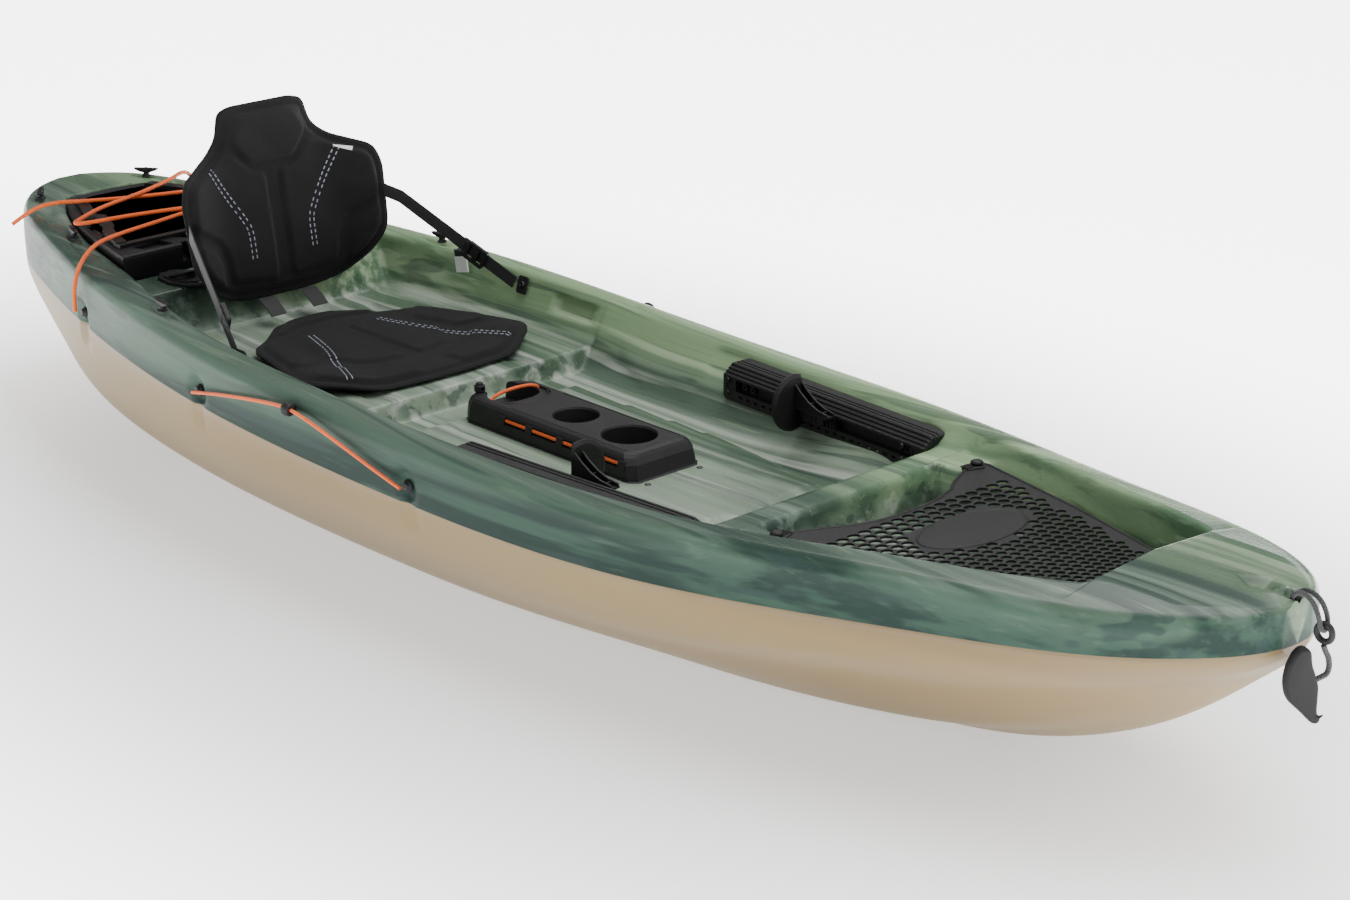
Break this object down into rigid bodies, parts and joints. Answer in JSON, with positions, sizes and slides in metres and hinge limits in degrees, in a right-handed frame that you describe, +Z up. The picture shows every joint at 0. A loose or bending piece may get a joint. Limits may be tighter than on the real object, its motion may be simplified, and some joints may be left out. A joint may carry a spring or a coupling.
{
  "type": "sit-on-top fishing kayak",
  "caption": "Sit-on-top fishing kayak with folding seat, centre console, sliding foot braces, lift-out storage tub, flush rod holders, mesh bow cover and bow handle.",
  "frame": {"origin": "on the keel, midway between bow and stern", "axes": "+X to the bow, +Y to port, +Z up"},
  "size_m": [2.9762, 0.804, 0.6316],
  "materials": {
    "hull": "satin tan",
    "deck": "gloss, streaked green",
    "foam": "bead foam",
    "black_plastic": "grained black",
    "moulding": "satin black",
    "screw": "dark steel",
    "seat_fabric": "padded woven charcoal",
    "webbing": "black webbing",
    "shock_cord": "braided orange",
    "handle_cord": "braided black"
  },
  "bodies": {
    "hull": {"anchor_rivets": "screw", "bow_cord": "handle_cord", "bow_foam": "foam", "cleats_port": "black_plastic", "cleats_starboard": "black_plastic", "console_bungee": "shock_cord", "console_cord_lock": "black_plastic", "console_screws": "screw", "console_side_cord": "shock_cord", "console_tray": "black_plastic", "deck_shell": "deck", "foot_rail_port": "black_plastic", "foot_rail_starboard": "black_plastic", "hull_shell": "hull", "paddle_bungee_port": "shock_cord", "paddle_bungee_starboard": "shock_cord", "paddle_knobs": "black_plastic", "rail_screws_port": "screw", "rail_screws_starboard": "screw", "rod_holder_port": "black_plastic", "rod_holder_screws": "screw", "rod_holder_starboard": "black_plastic", "scupper_tubes": "black_plastic", "seat_base": "seat_fabric", "seat_hinge_straps": "webbing", "seat_strap_port": "webbing", "seat_strap_starboard": "webbing", "side_plugs": "black_plastic", "stern_bungee_a": "shock_cord", "stern_bungee_b": "shock_cord", "stern_foam": "foam", "storage_tub": "black_plastic", "strap_anchors": "black_plastic", "strap_buckle_port": "moulding", "strap_buckle_starboard": "moulding"},
    "seat_back": {"seat_back": "seat_fabric"},
    "pedal_port": {"foot_pedal_port": "moulding"},
    "pedal_starboard": {"foot_pedal_starboard": "moulding"},
    "lever_port": {"pedal_lever_port": "moulding"},
    "lever_starboard": {"pedal_lever_starboard": "moulding"},
    "mesh_cover": {"mesh_cover": "black_plastic", "mesh_pins": "black_plastic"},
    "bow_handle": {"bow_ring": "moulding", "bow_handle_cord": "handle_cord", "bow_handle": "moulding"}
  },
  "joints": [
    {"name": "seat_back_fold", "type": "hinge", "parent": "hull", "child": "seat_back", "pos_m": [-0.742, 0, 0.284], "axis": [0, 1, 0], "range_deg": [0, 50], "deforming": ["seat_strap_port", "seat_strap_starboard", "seat_hinge_straps"]},
    {"name": "pedal_slide_port", "type": "slide", "parent": "hull", "child": "pedal_port", "axis": [0.9981, -0.0624, 0], "range_m": [-0.14, 0.135]},
    {"name": "pedal_slide_starboard", "type": "slide", "parent": "hull", "child": "pedal_starboard", "axis": [0.9981, 0.0624, 0], "range_m": [-0.14, 0.135]},
    {"name": "lever_port", "type": "hinge", "parent": "pedal_port", "child": "lever_port", "pos_m": [0.368, 0.238, 0.274], "axis": [0, 0, 1], "range_deg": [0, 10], "stiffness_Nm_per_rad": 0.4, "springref_deg": -5.73},
    {"name": "lever_starboard", "type": "hinge", "parent": "pedal_starboard", "child": "lever_starboard", "pos_m": [0.368, -0.238, 0.274], "axis": [0, 0, -1], "range_deg": [0, 10], "stiffness_Nm_per_rad": 0.4, "springref_deg": -5.73},
    {"name": "mesh_cover_lift", "type": "hinge", "parent": "hull", "child": "mesh_cover", "pos_m": [1.185, 0, 0.3106], "axis": [0, 1, 0], "range_deg": [0, 70]},
    {"name": "bow_handle_swing", "type": "hinge", "parent": "hull", "child": "bow_handle", "pos_m": [1.5, 0, 0.3349], "axis": [0, 1, 0], "range_deg": [-70, 12]}
  ]
}
